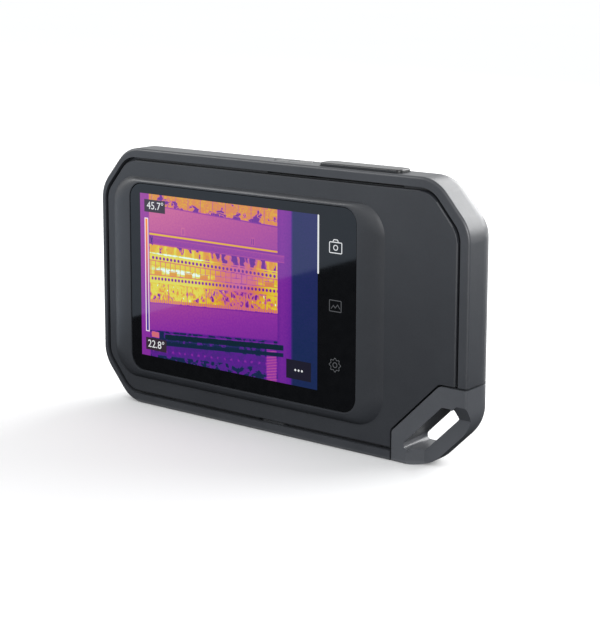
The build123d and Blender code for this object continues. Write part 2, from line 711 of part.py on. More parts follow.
def lens_barrel():
    tube = rod_y(IR_X, LENS_Z, IR_BARREL_RADIUS, CORE_FRONT, PLINTH_FACE - 0.25)
    tube += rod_y(IR_X, LENS_Z, IR_BARREL_RADIUS - 0.45, 4.0, CORE_FRONT + 0.1)
    tube -= rod_y(IR_X, LENS_Z, 3.2, 0, 20)
    tube -= rod_y(IR_X, LENS_Z, 4.1, 9.0, 20)
    return tube


def thermal_lens():
    """The outer germanium element: flat at the back, domed at the front."""
    disc = rod_y(IR_X, LENS_Z, 4.05, 9.0, 10.9)
    dome_radius = 14.0
    dome = Pos(IR_X, 11.1 - dome_radius, LENS_Z) * Sphere(dome_radius)
    return disc & dome


def inner_lens():
    disc = rod_y(IR_X, LENS_Z, 3.15, 5.0, 6.6)
    dome_radius = 9.0
    return disc & (Pos(IR_X, 5.0 + dome_radius, LENS_Z) * Sphere(dome_radius))


def lens_ring():
    ring = tube_y(IR_X, LENS_Z, 4.05, 3.35, 10.95, PLINTH_FACE - 0.4)
    return chamfer(edges_at_y(ring, PLINTH_FACE - 0.4), 0.2)


def eye_module():
    body = box(EYE_X - 4.2, EYE_X + 4.2, BOARD_FRONT, 5.2, LENS_Z - 4.2, LENS_Z + 4.2)
    body = chamfer(body.edges().filter_by(Axis.Y), 0.6)
    return body + rod_y(EYE_X, LENS_Z, EYE_RADIUS - 0.5, 5.2, 9.6)


def eye_window():
    window = rod_y(EYE_X, LENS_Z, EYE_RADIUS, 10.4, PLINTH_FACE - 0.3)
    return chamfer(edges_at_y(window, PLINTH_FACE - 0.3), 0.15)


def torch_led():
    base = box(TORCH_X - 2.6, TORCH_X + 2.6, BOARD_FRONT, BOARD_FRONT + 0.8, LENS_Z - 2.6, LENS_Z + 2.6)
    return base + rod_y(TORCH_X, LENS_Z, 1.3, BOARD_FRONT + 0.8, BOARD_FRONT + 1.5)


def torch_reflector():
    cone = Cone(1.9, 3.2, 8.6)
    hollow = Cone(1.5, 2.8, 8.8)
    place = Pos(TORCH_X, BOARD_FRONT + 1.6 + 4.3, LENS_Z) * Rot(-90, 0, 0)
    return place * cone - place * hollow


def torch_window():
    window = rod_y(TORCH_X, LENS_Z, TORCH_RADIUS, 10.2, PLINTH_FACE - 0.3)
    return chamfer(edges_at_y(window, PLINTH_FACE - 0.3), 0.15)


def lens_panel():
    y0 = PLINTH_FACE - PANEL_RECESS
    panel = prism(plinth_face(PLINTH_DRAFT + 1.3), y0, y0 + LENS_PANEL_THICK)
    panel = chamfer(edges_at_y(panel, y0 + LENS_PANEL_THICK), 0.15)
    for x, radius in ((IR_X, IR_BARREL_RADIUS), (EYE_X, EYE_RADIUS), (TORCH_X, TORCH_RADIUS)):
        panel -= rod_y(x, LENS_Z, radius + LENS_FIT, 0, 20)
    return panel


# ---- port, tripod socket and fasteners -------------------------------------------------------
def port_profile(fit, x0, x1):
    """The port's oval section, grown by fit, made solid from x0 to x1."""
    section = Plane.YZ * Rot(0, 0, 90) * SlotOverall(PORT_SIZE[0] + 2 * fit, PORT_SIZE[1] + 2 * fit)
    return Pos(x0, PORT_Y, PORT_Z) * extrude(section, amount=x1 - x0)


def charging_port():
    x0 = -LENGTH / 2 + FLAP_RECESS + 0.3
    x1 = x0 + PORT_DEPTH
    shell = port_profile(0, x0, x1) - port_profile(-0.3, x0 - 1, x1 - 1.0)
    tongue = box(x0 + 1.2, x1 - 0.5, PORT_Y - 0.35, PORT_Y + 0.35, PORT_Z - 3.3, PORT_Z + 3.3)
    return shell + tongue


def port_cover(body):
    """The flap over the port, flush with the body around it."""
    left = -LENGTH / 2
    y0, y1 = PORT_Y - FLAP_WIDTH / 2, PORT_Y + FLAP_WIDTH / 2
    flap = box(left, left + FLAP_THICK, y0, y1, FLAP_BOTTOM, FLAP_HINGE_Z - 0.45)
    flap = fillet(flap.edges().filter_by(Axis.Y).sort_by(Axis.Z)[:2], 0.5)
    pivot_x = left + HINGE_RADIUS + 0.1
    flap += rod_y(pivot_x, FLAP_HINGE_Z, HINGE_RADIUS, y0, y1)
    flap &= body
    flap -= rod_y(pivot_x, FLAP_HINGE_Z, HINGE_PIN_RADIUS + 0.05, y0 - 1, y1 + 1)
    return flap - box(left - 1, left + 0.35, y0 - 1, y1 + 1, FLAP_BOTTOM - 1, FLAP_BOTTOM + 1.2)


def port_hinge_pin():
    left = -LENGTH / 2
    reach = FLAP_WIDTH / 2 + FLAP_FIT + 0.8
    pivot_x = left + HINGE_RADIUS + 0.1
    return rod_y(pivot_x, FLAP_HINGE_Z, HINGE_PIN_RADIUS, PORT_Y - reach, PORT_Y + reach)


def tripod_insert():
    insert = rod_z(0, TRIPOD_Y, INSERT_RADIUS, INSERT_BOTTOM, INSERT_HEIGHT)
    return insert - rod_z(0, TRIPOD_Y, TRIPOD_RADIUS, INSERT_BOTTOM - 1, INSERT_BOTTOM + TRIPOD_DEPTH)


def cover_screws():
    screws = []
    head_rear = FRONT_FACE - SCREW_HEAD_HEIGHT
    for x, z in POST_PLACES:
        screw = rod_y(x, z, SCREW_RADIUS, head_rear - SCREW_LENGTH, head_rear)
        screw += rod_y(x, z, SCREW_HEAD_RADIUS, head_rear, FRONT_FACE - 0.15)
        screws.append(screw - drive_socket(x, z, FRONT_FACE - 0.15, 0.8))
    return Compound(children=screws)


def anchor_screws():
    screws = []
    seat = TONGUE_REAR + TONGUE_THICK
    for x, z in ANCHOR_SCREW_PLACES:
        screw = rod_y(x, z, ANCHOR_SCREW_RADIUS, seat - 5.0, seat)
        screw += rod_y(x, z, 1.25, seat, seat + 0.7)
        screws.append(screw - drive_socket(x, z, seat + 0.7, 0.6))
    return Compound(children=screws)


def drive_socket(x, z, top, width):
    return extrude(upright(top) * Pos(x, z) * RegularPolygon(width, 6), amount=width * 0.8)


def main():
    os.makedirs("parts", exist_ok=True)
    body, space = outer_body(), inner_space()
    pieces = {
        "bumper_frame": bumper(body, space),
        "rear_cover": rear_cover(),
        "front_cover": front_cover(),
        "front_gasket": front_gasket(),
        "lanyard_anchor": lanyard_anchor(body),
        "touch_glass": touch_glass(),
        "glass_adhesive": glass_adhesive(),
        "display_panel": display_panel(),
        "display_backlight": display_backlight(),
        "display_flex": display_flex(),
        "display_flex_socket": flex_socket(),
        "mid_frame": mid_frame(),
        "board_standoffs": board_standoffs(),
        "board_screws": board_screws(),
        "main_board": main_board(),
        "processor_shield": processor_shield(),
        "board_chips": board_chips(),
        "radio_module": radio_module(),
        "antenna": antenna(),
        "battery_pack": battery_pack(),
        "battery_pad": battery_pad(),
        "battery_lead": battery_lead(),
        "battery_socket": battery_socket(),
        "key_board": key_board(),
        "save_button": save_button(),
        "save_switch": key_switch(SAVE_X),
        "save_plunger": key_plunger(SAVE_X, SAVE_TRAVEL),
        "power_button": power_button(),
        "power_light": power_light(),
        "power_switch": key_switch(POWER_X),
        "power_plunger": key_plunger(POWER_X, POWER_TRAVEL),
        "core_housing": core_housing(),
        "thermal_sensor": thermal_sensor(),
        "shutter_pin": shutter_pin(),
        "shutter_flag": shutter_flag(),
        "lens_barrel": lens_barrel(),
        "thermal_lens": thermal_lens(),
        "inner_lens": inner_lens(),
        "lens_ring": lens_ring(),
        "eye_module": eye_module(),
        "eye_window": eye_window(),
        "torch_led": torch_led(),
        "torch_reflector": torch_reflector(),
        "torch_window": torch_window(),
        "lens_panel": lens_panel(),
        "charging_port": charging_port(),
        "port_cover": port_cover(body),
        "port_hinge_pin": port_hinge_pin(),
        "tripod_insert": tripod_insert(),
        "cover_screws": cover_screws(),
        "anchor_screws": anchor_screws(),
    }
    for name, shape in pieces.items():
        write(name, shape)


main()
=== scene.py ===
"""Pocket thermal imaging camera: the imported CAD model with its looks, floor and light."""

import json
import math

import bpy
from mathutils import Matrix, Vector


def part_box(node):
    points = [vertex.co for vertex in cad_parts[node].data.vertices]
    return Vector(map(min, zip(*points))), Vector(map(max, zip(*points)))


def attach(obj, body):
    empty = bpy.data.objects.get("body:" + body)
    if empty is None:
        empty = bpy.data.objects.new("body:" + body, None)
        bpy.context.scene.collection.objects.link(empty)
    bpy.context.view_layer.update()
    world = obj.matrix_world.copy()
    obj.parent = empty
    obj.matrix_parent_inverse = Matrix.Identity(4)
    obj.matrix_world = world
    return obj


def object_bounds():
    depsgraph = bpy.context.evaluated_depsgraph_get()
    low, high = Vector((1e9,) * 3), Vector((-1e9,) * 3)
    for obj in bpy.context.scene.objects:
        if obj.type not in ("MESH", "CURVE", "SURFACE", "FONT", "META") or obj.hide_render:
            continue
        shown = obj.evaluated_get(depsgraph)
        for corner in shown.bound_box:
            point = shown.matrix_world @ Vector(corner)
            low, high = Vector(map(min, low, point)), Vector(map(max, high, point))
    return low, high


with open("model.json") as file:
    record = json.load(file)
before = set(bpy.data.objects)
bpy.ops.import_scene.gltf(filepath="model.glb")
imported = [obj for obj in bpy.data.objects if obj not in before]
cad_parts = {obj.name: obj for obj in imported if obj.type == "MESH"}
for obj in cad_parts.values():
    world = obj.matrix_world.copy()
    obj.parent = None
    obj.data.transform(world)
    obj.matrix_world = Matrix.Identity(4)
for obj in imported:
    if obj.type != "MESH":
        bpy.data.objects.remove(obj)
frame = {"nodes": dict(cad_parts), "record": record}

MM = 0.001
CAD_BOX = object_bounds()
CENTRE = (CAD_BOX[0] + CAD_BOX[1]) / 2

# ---- camera and light --------------------------------------------------------------------
VIEW_AZIMUTH = 37.47
VIEW_ELEVATION = 12.06
VIEW_DISTANCE = 0.4823
CAMERA_YAW = 38.03
CAMERA_PITCH = 9.42
CAMERA_LENS = 91.17
CAMERA_SHIFT = (0.0398, -0.15)

# ---- screen ------------------------------------------------------------------------------
# how far the lit picture lies inside the display module: left, right, bottom, top
PICTURE_INSET = (2.4 * MM, 4.15 * MM, 2.7 * MM, 1.75 * MM)
MARK_PROUD = 0.02 * MM
MARK_THICK = 0.03 * MM
ICON_GAP = 6.35 * MM  # from the picture's right edge to the middle of the icons
READING_SIZE = 3.4 * MM

# ---- stage -------------------------------------------------------------------------------
FLOOR_SIZE = 30.0
FLOOR_VALUE = 0.87
FLOOR_GLOW = 0.11
WORLD_STRENGTH = 1.03

# nodes with large rounded faces, shaded smooth across the seams between CAD faces
SMOOTHED = (
    "bumper_frame",
    "rear_cover",
    "lanyard_anchor",
    "front_cover",
    "save_button",
    "power_button",
)


# ---- shader helpers ----------------------------------------------------------------------
def linear(r, g, b):
    """A colour given as 0 to 255 screen values, as the linear colour that shaders take."""

    def one(c):
        c /= 255
        return c / 12.92 if c <= 0.04045 else ((c + 0.055) / 1.055) ** 2.4

    return (one(r), one(g), one(b), 1.0)


class Field:
    """A number worked out by shader nodes, so that a pattern can be written as a formula."""

    def __init__(self, tree, socket):
        self.tree = tree
        self.socket = socket

    def math(self, operation, *others, clamp=False):
        node = self.tree.nodes.new("ShaderNodeMath")
        node.operation = operation
        node.use_clamp = clamp
        for i, item in enumerate((self, *others)):
            if isinstance(item, Field):
                self.tree.links.new(item.socket, node.inputs[i])
            else:
                node.inputs[i].default_value = item
        return Field(self.tree, node.outputs[0])

    def __add__(self, other):
        return self.math("ADD", other)

    def __sub__(self, other):
        return self.math("SUBTRACT", other)

    def __mul__(self, other):
        return self.math("MULTIPLY", other)

    def __truediv__(self, other):
        return self.math("DIVIDE", other)

    __radd__ = __add__
    __rmul__ = __mul__

    def flipped(self):
        """1 minus this."""
        return (self * -1.0) + 1.0

    def rise(self, low, high):
        """0 below low, 1 above high, straight between. low and high may be fields."""
        span = high - low
        return (self - low).math("DIVIDE", span, clamp=True)

    def between(self, low, high, soft=0.004):
        up = (self - low).math("DIVIDE", soft, clamp=True)
        down = ((self * -1.0) + high).math("DIVIDE", soft, clamp=True)
        return up * down

    def over(self, value, mask):
        """This, with value laid over it where mask is 1."""
        return self + (self * -1.0 + value) * mask

    def fract(self):
        return self.math("FRACT")


def new_material(name):
    material = bpy.data.materials.new(name)
    material.use_nodes = True
    tree = material.node_tree
    return material, tree, tree.nodes["Principled BSDF"]


def object_point(tree):
    return tree.nodes.new("ShaderNodeTexCoord").outputs["Object"]


def noise(tree, vector, scale, detail=2.0, rough=0.5):
    node = tree.nodes.new("ShaderNodeTexNoise")
    node.inputs["Scale"].default_value = scale
    node.inputs["Detail"].default_value = detail
    node.inputs["Roughness"].default_value = rough
    tree.links.new(vector, node.inputs["Vector"])
    return node.outputs["Fac"]


def ramp(tree, fac, stops):
    """A colour ramp of (position, colour) stops."""
    node = tree.nodes.new("ShaderNodeValToRGB")
    elements = node.color_ramp.elements
    while len(elements) < len(stops):
        elements.new(0.5)
    for element, (place, colour) in zip(elements, stops):
        element.position = place
        element.color = colour
    tree.links.new(fac, node.inputs["Fac"])
    return node.outputs["Color"]


def bump(tree, shader, height, strength, distance):
    node = tree.nodes.new("ShaderNodeBump")
    node.inputs["Strength"].default_value = strength
    node.inputs["Distance"].default_value = distance
    tree.links.new(height, node.inputs["Height"])
    tree.links.new(node.outputs["Normal"], shader.inputs["Normal"])


def grained(
    name, dark, light, grain=3200.0, depth=0.02 * MM, rough=(0.42, 0.55), metallic=0.0, strength=0.35
):
    """A finish with fine grain, slow drifts of tone and uneven gloss."""
    material, tree, shader = new_material(name)
    point = object_point(tree)
    drift = Field(tree, noise(tree, point, 55.0, 4.0, 0.6))
    speckle = Field(tree, noise(tree, point, grain * 0.6, 3.0, 0.7))
    tone = drift * 0.6 + speckle * 0.4
    tree.links.new(ramp(tree, tone.socket, [(0.3, dark), (0.7, light)]), shader.inputs["Base Color"])
    gloss = Field(tree, noise(tree, point, grain * 0.35, 2.0)) * (rough[1] - rough[0]) + rough[0]
    tree.links.new(gloss.socket, shader.inputs["Roughness"])
    shader.inputs["Metallic"].default_value = metallic
    bump(tree, shader, noise(tree, point, grain, 2.0, 0.6), strength, depth)
    return material


def brushed(name, dark, light, stretch=(1.0, 1.0, 40.0), rough=(0.25, 0.4)):
    """Metal with fine drawn lines."""
    material, tree, shader = new_material(name)
    mapping = tree.nodes.new("ShaderNodeMapping")
    mapping.inputs["Scale"].default_value = stretch
    tree.links.new(object_point(tree), mapping.inputs["Vector"])
    lines = noise(tree, mapping.outputs["Vector"], 900.0, 3.0, 0.6)
    tree.links.new(ramp(tree, lines, [(0.3, dark), (0.7, light)]), shader.inputs["Base Color"])
    gloss = Field(tree, lines) * (rough[1] - rough[0]) + rough[0]
    tree.links.new(gloss.socket, shader.inputs["Roughness"])
    shader.inputs["Metallic"].default_value = 1.0
    bump(tree, shader, lines, 0.15, 0.01 * MM)
    return material


# ---- screen picture ----------------------------------------------------------------------
PALETTE = [
    (0.00, linear(6, 34, 44)),
    (0.10, linear(20, 38, 82)),
    (0.20, linear(46, 38, 108)),
    (0.32, linear(92, 26, 142)),
    (0.42, linear(136, 44, 158)),
    (0.52, linear(178, 76, 152)),
    (0.58, linear(200, 100, 152)),
    (0.64, linear(210, 108, 112)),
    (0.70, linear(218, 140, 58)),
    (0.78, linear(222, 182, 48)),
    (0.86, linear(222, 212, 64)),
    (0.92, linear(220, 222, 112)),
    (0.97, linear(204, 234, 196)),
    (1.00, linear(230, 248, 242)),
]


def screen_area():
    """The lit picture's left, right, bottom and top, in metres."""
    low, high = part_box("display_panel")
    left, right, bottom, top = PICTURE_INSET
    return low[0] + left, high[0] - right, low[2] + bottom, high[2] - top


def patch(tree, u, v, scale_u, scale_v, seed, detail=2.0):
    """Noise over the picture, seed picking a different stretch of it."""
    node = tree.nodes.new("ShaderNodeCombineXYZ")
    tree.links.new((u * scale_u).socket, node.inputs[0])
    tree.links.new((v * scale_v).socket, node.inputs[1])
    node.inputs[2].default_value = seed
    return Field(tree, noise(tree, node.outputs[0], 1.0, detail))


def contour(field, level, width):
    """A line along which field has this level, like a cable seen from above."""
    return (field - level).math("ABSOLUTE").math("DIVIDE", width, clamp=True).flipped()


def picture_heat(tree, u, v):
    """How hot each place in the cabinet looks, from 0 to 1. u runs right and v runs down."""
    broad = patch(tree, u, v, 3.0, 2.0, 1.5, 3.0)
    fine = patch(tree, u, v, 110.0, 80.0, 4.0, 3.0)
    rack = u.between(0.052, 0.79, 0.004)
    glow = u.rise(0.56, 0.34).math("MAXIMUM", u.rise(0.60, 0.76) * 0.75)

    # cabinet wall and the cold space beside it
    heat = (u * -0.10 + 0.44) + (v * -0.06) + broad * 0.05
    heat = heat.over(u * -0.55 + 0.85 + v * -0.05, u.between(0.79, 0.862, 0.02))
    heat = heat.over(broad * 0.06 + 0.12 + v * -0.05, u.rise(0.855, 0.872))
    heat = heat + u.between(0.855, 0.864, 0.004) * 0.05

    heat = upper_panel(tree, heat, u, v, rack, broad, fine)
    heat = hot_middle(tree, heat, u, v, rack, glow, fine)

    # cable duct across the middle
    duct = u.between(0.066, 0.826, 0.004) * v.between(0.256, 0.305, 0.004)
    heat = heat.over(v * -0.5 + 0.58, duct)
    heat = heat.over(0.53, duct * v.between(0.262, 0.267, 0.003))
    heat = heat.over(0.52, duct * v.between(0.296, 0.302, 0.003))
    duct_end = u.between(0.055, 0.078, 0.006) * v.between(0.250, 0.308, 0.01)
    heat = heat.over(0.20, duct_end * fine.rise(0.4, 0.6))

    heat = lower_shelf(tree, heat, u, v, rack, broad, fine)
    return heat + (fine - 0.5) * 0.07


def upper_panel(tree, heat, u, v, rack, broad, fine):
    """Wires along the top, and the flat panel with two small sockets under them."""
    edge = u * 0.045 + 0.064
    wires = patch(tree, u, v, 20.0, 16.0, 9.0)
    loops = patch(tree, u, v, 13.0, 16.0, 12.0)
    top = broad * 0.1 + 0.60 + fine * 0.10
    low_half = (v - edge).rise(-0.07, -0.02) * 0.10
    top = top.over(0.35, (wires + low_half).rise(0.58, 0.64))
    top = top.over(0.74, contour(loops, 0.5, 0.035))
    top = top.over(0.76, contour(loops, 0.40, 0.02))
    top = top.over(0.46, (u * 14.0).fract().between(0.0, 0.05, 0.02))
    heat = heat.over(top, rack * (v * -1.0 + edge).rise(0.0, 0.006))

    panel = u * -0.12 + 0.57 + (v - 0.15) * -0.25 + broad * 0.02
    heat = heat.over(panel, rack * v.between(edge, 0.236, 0.006))
    for place in (0.257, 0.653):
        frame_mask = u.between(place - 0.013, place + 0.013, 0.003) * v.between(0.178, 0.230, 0.004)
        heat = heat + frame_mask * 0.035
        slot = u.between(place - 0.009, place + 0.009, 0.003) * v.between(0.186, 0.224, 0.004)
        bars = (u * 110.0 + 0.2).fract().between(0.15, 0.7, 0.2)
        heat = heat - slot * bars * 0.20
    heat = heat.over(u * -0.08 + 0.82, rack * v.between(0.234, 0.252, 0.006))
    return heat.over(0.46, rack * v.between(0.226, 0.234, 0.004))


def hot_middle(tree, heat, u, v, rack, glow, fine):
    """Wires above, two terminal strips, and loose cables below them."""
    low_edge = u * -0.088 + 0.672
    row_end = u * -0.060 + 0.548
    cool = glow.flipped() * 0.12
    weave = patch(tree, u, v, 52.0, 15.0, 21.0)

    stripes = (u * 19.0 + weave * 0.7).fract().between(0.1, 0.5, 0.18)
    above = glow * 0.16 + 0.52 + weave * 0.16
    above = above.over(0.34, (patch(tree, u, v, 30.0, 15.0, 25.0) + cool).rise(0.55, 0.60))
    above = above.over(glow * 0.27 + 0.62, stripes * 0.9)

    below = glow * 0.14 + 0.48 + weave * 0.14 + fine * 0.06
    below = below.over(0.35, (patch(tree, u, v, 24.0, 17.0, 35.0) + cool).rise(0.49, 0.54))
    cables = ((14.0, 13.0, 33.0, 0.09), (22.0, 10.0, 38.0, 0.07), (34.0, 9.0, 46.0, 0.07))
    for scale_u, scale_v, seed, width in cables:
        cable = contour(patch(tree, u, v, scale_u, scale_v, seed), 0.5, width)
        below = below.over(glow * 0.19 + 0.68, cable)
    ties = patch(tree, u, v, 64.0, 22.0, 41.0)
    below = below + ties.rise(0.64, 0.72) * 0.28
    below = below.over(0.42, contour((u * 9.0).fract(), 0.5, 0.03) * 0.7)

    middle = above.over(below, v.rise(row_end - 0.004, row_end + 0.004))
    heat = heat.over(middle, rack * v.between(0.300, low_edge, 0.008))
    fringe = v.between(low_edge - 0.024, low_edge - 0.004, 0.004)
    heat = heat.over(glow * 0.06 + 0.66, rack * fringe)
    heat = heat.over(0.50, rack * fringe * (u * 80.0).fract().between(0.1, 0.6, 0.2) * 0.8)
    return terminal_rows(tree, heat, u, v, rack, glow, row_end)


def terminal_rows(tree, heat, u, v, rack, glow, row_end):
    """Two strips of screw terminals with dark holes and small marker tags between them."""
    spots = patch(tree, u, v, 60.0, 40.0, 61.0)
    second_top = row_end - 0.052
    gap = v.between(0.400, second_top, 0.004)
    bed = glow * 0.25 + 0.51 + spots * 0.16
    columns = (u * 34.0).fract().between(0.0, 0.18, 0.05)
    bed = bed.over(glow * 0.10 + 0.46, columns * 0.8)
    ledges = contour((v * 30.0 + spots).fract(), 0.5, 0.16)
    bed = bed.over(glow * 0.08 + 0.50, ledges * 0.35)
    heat = heat.over(bed, rack * gap)

    strip = glow * 0.29 + 0.59
    heat = heat.over(strip + glow * 0.06, rack * v.between(0.352, 0.366, 0.006))
    heat = heat.over(strip, rack * v.between(0.364, 0.402, 0.005))
    heat = heat.over(strip, rack * v.between(second_top, row_end, 0.005))
    heat = heat.over(glow * 0.12 + 0.48, rack * contour(v, 0.404, 0.004))
    heat = heat.over(glow * 0.12 + 0.48, rack * contour(v - second_top, 0.0, 0.004))
    for centre, count in ((v - 0.386, 46.0), (v - (row_end - 0.030), 50.0)):
        across = ((u * count).fract() - 0.5) / 0.32
        down = centre / 0.0095
        hole = (across * across + down * down).math("SQRT").rise(1.2, 0.75)
        heat = heat.over(0.36, rack * hole * u.rise(0.06, 0.07))

    left_shine = (u - 0.23).math("ABSOLUTE").rise(0.24, 0.08)
    right_shine = (u - 0.75).math("ABSOLUTE").rise(0.09, 0.02)
    shine = left_shine + right_shine * 0.4
    hot = contour(v + u * 0.02, 0.460, 0.024)
    heat = heat + rack * hot * (spots.rise(0.30, 0.55) * 0.5 + 0.5) * shine * 0.30
    line = contour(v, 0.359, 0.010)
    heat = heat + rack * line * shine * spots.rise(0.3, 0.6) * 0.22

    tag_place = v - (row_end - 0.064)
    cell = (u * 11.0 + 0.25).fract()
    tags = cell.between(0.15, 0.66, 0.03) * tag_place.between(-0.015, 0.013, 0.004)
    heat = heat.over(glow * 0.11 + 0.60, rack * tags * 0.95)
    rim = contour(tag_place, -0.017, 0.003) * cell.between(0.12, 0.70, 0.03)
    return heat.over(0.44, rack * rim * 0.9)


def lower_shelf(tree, heat, u, v, rack, broad, fine):
    """The lower flat panel, its rails, and the dim space under them."""
    low_edge = u * -0.088 + 0.672
    rail = u * -0.105 + 0.842
    panel = (u * -0.09 + 0.46) + (v - 0.7) * -0.30 + broad * 0.02
    heat = heat.over(panel, rack * v.between(low_edge, rail, 0.006))
    under = v.rise(rail, rail + 0.006)
    blots = patch(tree, u, v, 30.0, 30.0, 53.0, 4.0)
    dim = patch(tree, u, v, 8.0, 26.0, 50.0) * 0.14 + 0.20 + fine * 0.06
    dim = dim.over(0.02 + fine * 0.10, (blots + u.rise(0.5, 0.1) * 0.06).rise(0.48, 0.54))
    slope = v + u * 0.085
    shelf = slope.between(0.922, 0.998, 0.006)
    dim = dim.over(broad * 0.08 + 0.27, shelf * 0.85)
    marks = contour(slope, 0.968, 0.012) * (u * 26.0 + blots).fract().between(0.2, 0.55, 0.1)
    dim = dim.over(0.46, marks * 0.8)
    hatch = ((v + u * 0.3) * 60.0).fract().between(0.1, 0.5, 0.2) * 0.12 + 0.44
    dim = dim.over(hatch, u.between(0.722, 0.79, 0.01) * v.rise(0.80, 0.82))
    heat = heat.over(dim, rack * under)
    warm_corner = u.between(0.056, 0.112, 0.008) * v.between(0.838, 0.884, 0.008)
    heat = heat.over(0.60 + fine * 0.06, warm_corner)
    for offset, width, value in ((0.038, 0.034, 0.01), (0.059, 0.006, 0.30), (0.080, 0.026, 0.04)):
        bar = (v - rail).between(offset - width / 2, offset + width / 2, 0.004)
        heat = heat.over(value, bar * u.between(0.14, 0.822, 0.006))
    return heat.over(0.40, contour(v - rail, 0.018, 0.004) * u.between(0.14, 0.80, 0.01))


def screen_material():
    material, tree, shader = new_material("screen_glass")
    left, right, bottom, top = screen_area()
    split = tree.nodes.new("ShaderNodeSeparateXYZ")
    tree.links.new(object_point(tree), split.inputs[0])
    u = (Field(tree, split.outputs[0]) - left) / (right - left)
    v = (Field(tree, split.outputs[2]) * -1.0 + top) / (top - bottom)
    heat = picture_heat(tree, u, v)
    colour = ramp(tree, heat.socket, PALETTE)

    labels = label_mask(u, v, 0.060) + label_mask(u, v, 0.911)
    colour = lay(tree, colour, linear(52, 38, 52), labels)
    menu_box = u.between(0.834, 0.968, 0.002) * v.between(0.850, 0.963, 0.002)
    colour = lay(tree, colour, linear(26, 24, 40), menu_box)
    scale_frame = u.between(0.0255, 0.0495, 0.002) * v.between(0.147, 0.850, 0.002)
    colour = lay(tree, colour, linear(246, 226, 236), scale_frame)
    scale = v.rise(0.84, 0.16)
    scale_colour = ramp(
        tree,
        scale.socket,
        [
            (0.0, linear(38, 26, 150)),
            (0.18, linear(98, 44, 150)),
            (0.45, linear(176, 60, 138)),
            (0.75, linear(226, 110, 92)),
            (1.0, linear(244, 150, 48)),
        ],
    )
    scale_bar = u.between(0.0305, 0.0450, 0.002) * v.between(0.153, 0.844, 0.002)
    colour = lay(tree, colour, scale_colour, scale_bar)
    lit = u.between(0.0, 1.0, 0.001) * v.between(0.0, 1.0, 0.001)
    colour = lay(tree, linear(0, 0, 0), colour, lit)
    tree.links.new(colour, shader.inputs["Emission Color"])
    shader.inputs["Emission Strength"].default_value = 0.97

    smear = Field(tree, noise(tree, object_point(tree), 120.0, 3.0)) * 0.03 + 0.03
    tree.links.new(smear.socket, shader.inputs["Roughness"])
    speckle = noise(tree, object_point(tree), 400.0)
    border = ramp(tree, speckle, [(0.3, linear(10, 11, 13)), (0.7, linear(13, 14, 16))])
    tree.links.new(border, shader.inputs["Base Color"])
    return material


def label_mask(u, v, place):
    """A small dark box behind a temperature, centred at this height."""
    return u.between(0.025, 0.152, 0.002) * v.between(place - 0.038 + 0.012, place + 0.052, 0.002)


def lay(tree, under, over, mask):
    """One colour laid over another where mask is 1."""
    node = tree.nodes.new("ShaderNodeMix")
    node.data_type = "RGBA"
    tree.links.new(mask.socket, node.inputs["Factor"])
    for name, value in (("A", under), ("B", over)):
        socket = [s for s in node.inputs if s.name == name and s.type == "RGBA"][0]
        if isinstance(value, tuple):
            socket.default_value = value
        else:
            tree.links.new(value, socket)
    return [s for s in node.outputs if s.type == "RGBA"][0]


def glowing(name, colour, strength):
    """Lit marks on the screen, with the glass's own gloss and a faint pixel texture."""
    material, tree, shader = new_material(name)
    pixels = noise(tree, object_point(tree), 6000.0)
    shade = ramp(tree, pixels, [(0.2, linear(20, 20, 22)), (0.8, linear(28, 28, 30))])
    tree.links.new(shade, shader.inputs["Base Color"])
    shader.inputs["Roughness"].default_value = 0.08
    shader.inputs["Emission Color"].default_value = colour
    shader.inputs["Emission Strength"].default_value = strength
    return material


# ---- flat marks on the screen ------------------------------------------------------------
def rounded_loop(cx, cz, width, height, radius, steps=5):
    """Points round a rectangle with rounded corners."""
    points = []
    for turn, (sx, sz) in enumerate(((1, 1), (-1, 1), (-1, -1), (1, -1))):
        for i in range(steps + 1):
            angle = math.radians(90 * turn + 90 * i / steps)
            x = cx + sx * (width / 2 - radius) + radius * math.cos(angle)
            z = cz + sz * (height / 2 - radius) + radius * math.sin(angle)
            points.append((x, z))
    return points


def circle_loop(cx, cz, radius, steps=28):
    turns = [2 * math.pi * i / steps for i in range(steps)]
    return [(cx + radius * math.cos(a), cz + radius * math.sin(a)) for a in turns]


def flat_piece(name, loops, y, material, thick=MARK_THICK):
    """A thin plate standing just off y, facing the screen side. A loop inside another is a hole."""
    curve = bpy.data.curves.new(name + "_outline", "CURVE")
    curve.dimensions = "2D"
    curve.fill_mode = "BOTH"
    curve.extrude = thick / 2
    for loop in loops:
        spline = curve.splines.new("POLY")
        spline.points.add(len(loop) - 1)
        for point, (x, z) in zip(spline.points, loop):
            point.co = (x, z, 0, 1)
        spline.use_cyclic_u = True
    return settle(name, curve, (0, y, 0), material)


def settle(name, curve, place, material):
    """Turns a flat curve into a mesh piece standing upright at place."""
    holder = bpy.data.objects.new(name + "_curve", curve)
    bpy.context.scene.collection.objects.link(holder)
    holder.rotation_euler = (math.radians(90), 0, 0)
    holder.location = place
    bpy.context.view_layer.update()
    shape = holder.evaluated_get(bpy.context.evaluated_depsgraph_get())
    mesh = bpy.data.meshes.new_from_object(shape)
    mesh.transform(holder.matrix_world)
    bpy.data.objects.remove(holder)
    piece = bpy.data.objects.new(name, mesh)
    bpy.context.scene.collection.objects.link(piece)
    mesh.materials.clear()
    mesh.materials.append(material)
    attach(piece, "camera")
    return piece


def screen_text(name, words, x, z, size, material):
    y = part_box("touch_glass")[0][1] - MARK_PROUD
    text = bpy.data.curves.new(name + "_text", "FONT")
    text.body = words
    text.size = size
    text.extrude = MARK_THICK / 2
    text.offset = 0.0
    text.align_x = "LEFT"
    text.align_y = "CENTER"
    return settle(name, text, (x, y, z), material)


